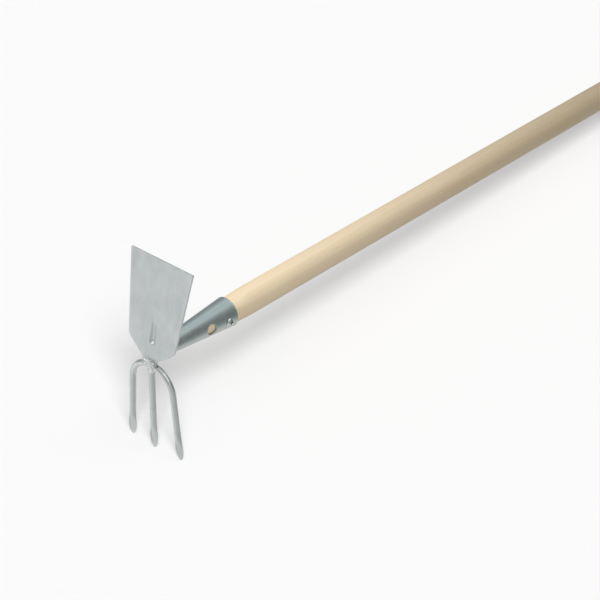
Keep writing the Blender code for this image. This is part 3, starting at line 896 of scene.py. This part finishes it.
def makeCentreTine(material):
    # Its top is hollowed to sit under the arch
    length = tineDrop(radians(fork["centreLean"]), fork["centreLift"])
    reach = rodRadius + 0.1
    outward = Vector((0, 1, 0))
    rings = []
    for scale in (0.3, 0.65, 1.0):
        top = [p * scale for p in rodRing(Vector(), outward, 0.0)]
        rings.append([Vector((p.x, p.y, -sqrt(reach ** 2 - p.x ** 2))) for p in top])
    shank = length - fork["spearLength"]
    runs = [(between(4.0, shank, k / 14), 0.0) for k in range(14)]
    runs += [(shank + distance, distance) for distance in spearStations()]
    for run, distance in runs:
        rings.append(rodRing(Vector((0, 0, -run)), outward, distance))
    places = {}
    for ring in rings:
        places.update((spot(p), straightened(k, p.z + centreAlong)) for k, p in enumerate(ring))
    item = loft("middleTine", rings, Vector((0, 0, -reach)), Vector((0, 0, -length)))
    keepRodPlaces(item, places)
    item.data.transform(leaning(fork["centreLean"]))
    keepPiece(item, "centre_tine", material, 38)


def rodZinc():
    # Zinc on drawn rod: streaks along the rod, dull patches, smoother round the bend
    material, tree = newMaterial("galvanisedRod", 1.0)
    streaks = cloudy(tree, fork["streakSize"], 3, 0.6, space=rodSpace)
    patches = cloudy(tree, fork["patchSize"], 4, 0.6, 0.5, space=rodSpace)
    grain = cloudy(tree, fork["grainSize"], 2, 0.6, space=rodSpace)
    base = tinted(tree, spread(tree, patches, 0.38, 0.64), fork["dullZinc"], fork["zinc"])
    final = tinted(tree, spread(tree, streaks, 0.42, 0.72, 0, 0.6), base, fork["brightZinc"])
    away = reckon(tree, "ABSOLUTE", axes(tree, rodSpace(tree))["Z"])
    bend = spread(tree, away, *fork["polish"], *fork["roughness"], True)
    rough = reckon(tree, "ADD", bend, spread(tree, patches, 0.3, 0.7, -0.04, 0.06))
    height = weighed(tree, (streaks, 0.6), (patches, 0.8), (grain, 0.2))
    dress(tree, final, rough, height, fork["bump"])
    return material


# Welds: beads laid by hand, so each is lumpy and finely rippled, and runs a little into its neighbours

weld = {
    "pitch": 4.5,  # from one lump of a bead to the next
    "phase": 4.25,  # from a bead's start to its first lump
    "swell": 0.20,  # shares of the radius, for lumps, fine ripples and chance
    "ripplePitch": 1.05,
    "ripple": 0.035,
    "lump": 0.10,
    "stray": 0.11,  # by which every point is moved off
    "noiseSeed": 2,  # any whole number but 0, which would give other lumps in each run
    "neckRadius": 2.7,
    "neckInset": 0.8,  # from the neck's side to the bead's end
    "neckRise": (-0.2, 0, 2.0),
    "ringRadius": 2.0,
    "saddleRadius": 2.55,
    "saddleInset": 2.1,
    "saddlePlace": 1.9,  # behind the foot's corner
    "sunk": 0.6,  # into the sheet
    "collarSwell": 0.45,
    "collarRoot": 0.35,
    "collarReach": 8.0,  # how far its top is drawn out to the right under the arch
    "collarLength": 7.4,
    "collarStray": 0.08,
    "sides": 30,
    "collarSides": 56,
    "collarSteps": 26,
    "steel": (0.52, 0.55, 0.54),
    "brightSteel": (0.80, 0.82, 0.81),
    "roughness": (0.08, 0.24),
    "scale": 0.45,  # roughness added on the right
    "scaleFade": (0.8, -1.6),  # from the middle of the head: where it begins, and where it is full
    "cloudSize": (3.0, 3.0, 3.0),
    "scaleSize": (0.7, 0.7, 0.7),
    "bump": 0.06,
}
noise.seed_set(weld["noiseSeed"])


def archFall(across):
    # How far the arch's upper side has fallen at a distance from its middle
    reach = fork["archRadius"] + rodRadius
    beyond = min(max(abs(across) - fork["barFlat"], 0.0), reach)
    return reach - sqrt(reach ** 2 - beyond ** 2)


def beadScale(along, length, seed, closing=True):
    # Share of the radius at a distance along the bead
    slow = 1 + weld["swell"] * (2 * abs(cos(pi * (along - weld["phase"]) / weld["pitch"])) - 1)
    fine = 1 + weld["ripple"] * cos(2 * pi * along / weld["ripplePitch"])
    lump = 1 + weld["lump"] * noise.noise(Vector((along * 0.35, seed, 0.0)))
    if not closing:
        return slow * fine * lump
    share = min(max(2 * along / length - 1, -1.0), 1.0)
    return slow * fine * lump * max(sqrt(1 - abs(share) ** 5), 0.16)


def lumped(p, amount, seed):
    coarse = noise.noise_vector(p * 0.45 + Vector((seed, 0, 0)))
    fine = noise.noise_vector(p * 1.3 + Vector((seed, 5, 0)))
    return p + (coarse + fine * 0.4) * amount


def beadAlong(name, path, radius, seed, loop=False, shape=None):
    # Tube of ripples over a path of points; shape may move each finished point
    length = sum((b - a).length for a, b in zip(path, path[1:]))
    rings = []
    along = 0.0
    for i, middle in enumerate(path):
        before = path[i - 1] if i or loop else path[0]
        after = path[(i + 1) % len(path)] if i + 1 < len(path) or loop else path[-1]
        ahead = (after - before).normalized()
        if i:
            along += (middle - path[i - 1]).length
        sideways = ahead.orthogonal().normalized() if abs(ahead.x) > 0.9 else Vector((1, 0, 0))
        sideways = (sideways - ahead * sideways.dot(ahead)).normalized()
        other = ahead.cross(sideways)
        size = radius * beadScale(along, length, seed, not loop)
        ring = []
        for turn in around(weld["sides"]):
            p = middle + (sideways * cos(turn) + other * sin(turn)) * size
            ring.append(lumped(p, weld["stray"], seed))
        rings.append([shape(p) for p in ring] if shape else ring)
    return loft(name, rings, path[0], path[-1], loop)


def neckPath(x, z, half, count):
    # Across the neck, falling to both sides as the arch does
    places = [half * (2 * k / count - 1) for k in range(count + 1)]
    return [Vector((x, y, z - archFall(y))) for y in places]


def makeNeckWeld(material):
    # Across the front of the neck, in the corner between its foot and the arch
    x = neckFoot() * sin(bladeLean) - blade["thickness"] * cos(bladeLean)
    z = neckFoot() * cos(bladeLean) + blade["thickness"] * sin(bladeLean)
    path = neckPath(x, z, blade["neckWidth"] / 2 - weld["neckInset"], 90)
    path = [p + Vector(weld["neckRise"]) for p in path]
    item = beadAlong("neckBead", path, weld["neckRadius"], 3.0)
    keepPiece(item, "neck_weld", material, 80)


def makeSocketWeld(material):
    # Round the socket's foot on the blade's back, with a saddle down to the arch
    def flatten(p):
        q = bladePlace.inverted() @ p
        q.x = max(q.x, -weld["sunk"])
        return bladePlace @ q

    radius = footRadius + 0.1
    ring = [Vector((0.2, radius * cos(a), radius * sin(a))) for a in around(150)]
    ring = [bladePlace @ p for p in ring]
    item = beadAlong("socketBead", ring, weld["ringRadius"], 11.0, True, flatten)
    x = weld["saddlePlace"] - footRadius * sin(bladeLean)
    z = barZ + rodRadius + barSpace / 2
    path = neckPath(x, z, blade["neckWidth"] / 2 - weld["saddleInset"], 60)
    carve(item, beadAlong("saddle", path, weld["saddleRadius"], 7.0, False, flatten), operation="UNION")
    cleaned(item)
    keepPiece(item, "socket_weld", material, 80)


def makeTineWeld(material):
    # Collar round the top of the centre tine, drawn out under the arch to the right, where the bead was ended
    rings = []
    for i in range(weld["collarSteps"] + 1):
        share = i / weld["collarSteps"]
        z = -weld["collarLength"] * share
        reach = weld["collarReach"] * (1 - share ** 1.5) ** 1.5
        swell = weld["collarSwell"] * sin(pi * share ** 0.75) ** 2
        size = rodRadius + weld["collarRoot"] * (1 - share) + swell
        stray = weld["collarStray"] if 0 < i < weld["collarSteps"] else 0.0
        ring = []
        for turn in around(weld["collarSides"]):
            y = size * sin(turn) - reach * (0.5 - 0.5 * sin(turn))
            ring.append(lumped(Vector((size * cos(turn), y, z)), stray, 19.0))
        rings.append(ring)
    rings.insert(0, [Vector((p.x * 0.5, p.y * 0.5, p.z)) for p in rings[0]])
    item = loft("tineCollar", rings, Vector(), Vector((0, 0, -weld["collarLength"])))
    item.data.transform(leaning(fork["centreLean"]))
    keepPiece(item, "tine_weld", material, 80)


def weldSteel():
    # Bright frozen metal, duller and scaled towards the right
    material, tree = newMaterial("weldSteel", 1.0)
    clouds = cloudy(tree, weld["cloudSize"], 2, 0.5, 0.3)
    scale = cloudy(tree, weld["scaleSize"], 2, 0.6)
    final = tinted(tree, spread(tree, clouds, 0.38, 0.62), weld["steel"], weld["brightSteel"])
    across = axes(tree, toolSpace(tree))["Y"]
    scaled = spread(tree, across, *weld["scaleFade"], 0, weld["scale"], True)
    low, high = weld["roughness"]
    rough = reckon(tree, "ADD", spread(tree, clouds, 0.35, 0.65, high, low), scaled)
    dress(tree, final, rough, weighed(tree, (clouds, 1.0), (scale, 0.35)), weld["bump"])
    return material


makeBlade(sheetZinc())
makeSocket(socketPlate())
makeHandle(ashWood())
makeScrew(brightZinc())
rod = rodZinc()
makeOuterTines(rod)
makeCentreTine(rod)
steel = weldSteel()
makeNeckWeld(steel)
makeSocketWeld(steel)
makeTineWeld(steel)
print("double hoe: all nine pieces in place")


# Floor, light and camera

studio = {
    "floor": (0.90, 0.90, 0.90),
    "floorSize": 30.0,
    "floorLevel": 0.943,  # how bright the open floor shows
    "background": (0.956, 0.956, 0.956),
    "ambient": (0.25, 0.25, 0.25),
    "walls": (0.84, 0.85, 0.85),
    # What the metal shows of the room: azimuth, height, colour, and the degrees from there at which each
    # patch starts to fade and is gone. The last four are a strip light overhead and a window on the left
    "patches": [
        (-58, 7, (0.29, 0.295, 0.29), 2, 60),
        (58, 6, (0.40, 0.42, 0.43), 4, 46),
        (12, 63, (0.84, 0.88, 0.90), 5, 32),
        (110, -32, (1.04, 1.05, 1.06), 14, 56),
        (-105, -26, (0.64, 0.65, 0.65), 5, 44),
        (-148, -10, (0.57, 0.58, 0.58), 5, 28),
        (76, -32, (0.50, 0.51, 0.51), 6, 26),
        (101, 8, (0.43, 0.44, 0.44), 9, 26),
        (12, -58, (0.84, 0.76, 0.735), 5, 44),
        (135, 14, (0.38, 0.40, 0.40), 6, 18),
        (-163, 16, (0.26, 0.26, 0.26), 7, 24),
        (168, 24, (0.30, 0.30, 0.30), 8, 22),
        (6, 38, (0.12, 0.12, 0.12), 6, 20),
        (-23, 22, (0.30, 0.30, 0.29), 6, 22),
        (-94, 44, (2.1, 2.04, 1.92), 7, 11),
        (-102, 63, (2.1, 2.04, 1.92), 6, 11),
        (-60, 85, (2.1, 2.04, 1.92), 6, 12),
        (126, 43, (3.6, 3.6, 3.5), 11, 17),
    ],
    # Lamps for the floor alone: share of its light, azimuth, height and size in degrees, and shadow
    "floorLamps": [
        ("floorKey", 0.42, -129, 47, 22, True),
        ("floorSide", 0.06, -62, 65, 33, True),
        ("floorFill", 0.285, 0, 90, 40, False),
    ],
    # Lamps for the pieces alone: place from the head in the tool's own frame, size, and level there
    "pieceLamps": [
        ("topLamp", (0.0, 0.22, 0.70), 0.5, 0.88),
        ("sideLamp", (-0.05, -0.69, 0.22), 0.5, 0.43),
    ],
    # Where the photograph was taken from: place in metres and turn in degrees, in the tool's own frame
    "cameraPlace": (-1.07369, -1.17396, 1.068295),
    "cameraTurn": (57.4962, 0.2724, -47.492),
    "lens": 126.487,
}


def makeFloor():
    half = studio["floorSize"] / 2
    corners = [(-half, -half, 0), (half, -half, 0), (half, half, 0), (-half, half, 0)]
    mesh = bpy.data.meshes.new("paleFloor")
    mesh.from_pydata(corners, [], [(0, 1, 2, 3)])
    item = addObject("paleFloor", mesh)
    material, tree = newMaterial("palePaper", 0.0)
    inputs = tree.nodes["Principled BSDF"].inputs
    inputs["Roughness"].default_value = 1.0
    inputs["Specular IOR Level"].default_value = 0.0
    shade = spread(tree, cloudy(tree, (3, 3, 3), 2, 0.5), 0.3, 0.7, 0.997, 1.003)
    tree.links.new(tinted(tree, 1.0, studio["floor"], shade, "MULTIPLY"), inputs["Base Color"])
    mesh.materials.append(material)
    item.visible_glossy = False  # the walls' lower half stands for it in the metal
    item.visible_diffuse = False
    return item


def compass(azimuth, height):
    # Direction in the tool's own frame, turned into the floor's
    a = radians(azimuth)
    h = radians(height)
    direction = Vector((cos(h) * cos(a), cos(h) * sin(a), sin(h)))
    return toolPlace.to_3x3() @ direction


def makeWalls():
    world = bpy.data.worlds.new("paleStudio")
    scene.world = world
    world.use_nodes = True
    world.cycles.sampling_method = "NONE"
    tree = world.node_tree
    background = tree.nodes["Background"]
    direction = addNode(tree, "TexCoord").outputs["Generated"]
    colour = studio["walls"]
    for azimuth, height, light, inner, outer in studio["patches"]:
        values = {1: compass(azimuth, height)}
        facing = addNode(tree, "VectorMath", values, {0: direction}, operation="DOT_PRODUCT").outputs["Value"]
        fade = cos(radians(outer)), cos(radians(inner))
        colour = tinted(tree, spread(tree, facing, *fade, 0, 1, True), colour, light)
    # The camera sees the plain background, metal sees the room, and matt surfaces get an even light
    path = addNode(tree, "LightPath").outputs
    seen = reckon(tree, "MAXIMUM", path["Is Camera Ray"], path["Is Transmission Ray"])
    mirrored = tinted(tree, path["Is Glossy Ray"], studio["ambient"], colour)
    tree.links.new(tinted(tree, seen, mirrored, studio["background"]), background.inputs["Color"])


def makeLamp(name, kind, receivers):
    # A lamp that lights only the given objects; every object still casts its shadow
    lamp = bpy.data.lights.new(name, kind)
    item = addObject(name, lamp)
    item.visible_glossy = False
    group = bpy.data.collections.new(name + "Receivers")
    for receiver in receivers:
        group.objects.link(receiver)
    item.light_linking.receiver_collection = group
    return item, lamp


def makeFloorLamps(floor):
    for name, share, azimuth, height, size, shadow in studio["floorLamps"]:
        item, lamp = makeLamp(name, "SUN", [floor])
        item.rotation_euler = compass(azimuth, height).to_track_quat("Z", "Y").to_euler()
        level = share * studio["floorLevel"] / studio["floor"][0]
        lamp.energy = level * pi / sin(radians(height))
        lamp.angle = radians(size)
        lamp.use_shadow = shadow


def makePieceLamps():
    for name, place, size, level in studio["pieceLamps"]:
        item, lamp = makeLamp(name, "AREA", pieces)
        place = Vector(place)
        lamp.shape = "DISK"
        lamp.size = size
        lamp.energy = level * pi ** 2 * place.length_squared
        item.location = toolPlace @ place
        item.rotation_euler = (toolPlace.to_3x3() @ place).to_track_quat("Z", "Y").to_euler()


def makeCamera():
    data = bpy.data.cameras.new("camera")
    data.sensor_width = 36
    data.lens = studio["lens"]
    data.clip_end = 60
    item = addObject("camera", data)
    turn = Euler([radians(a) for a in studio["cameraTurn"]], "XYZ")
    item.matrix_world = toolPlace @ Matrix.Translation(studio["cameraPlace"]) @ turn.to_matrix().to_4x4()
    scene.camera = item


makeFloorLamps(makeFloor())
makeWalls()
makePieceLamps()
makeCamera()
scene.view_settings.view_transform = "Standard"
print("double hoe: floor, light and camera ready")
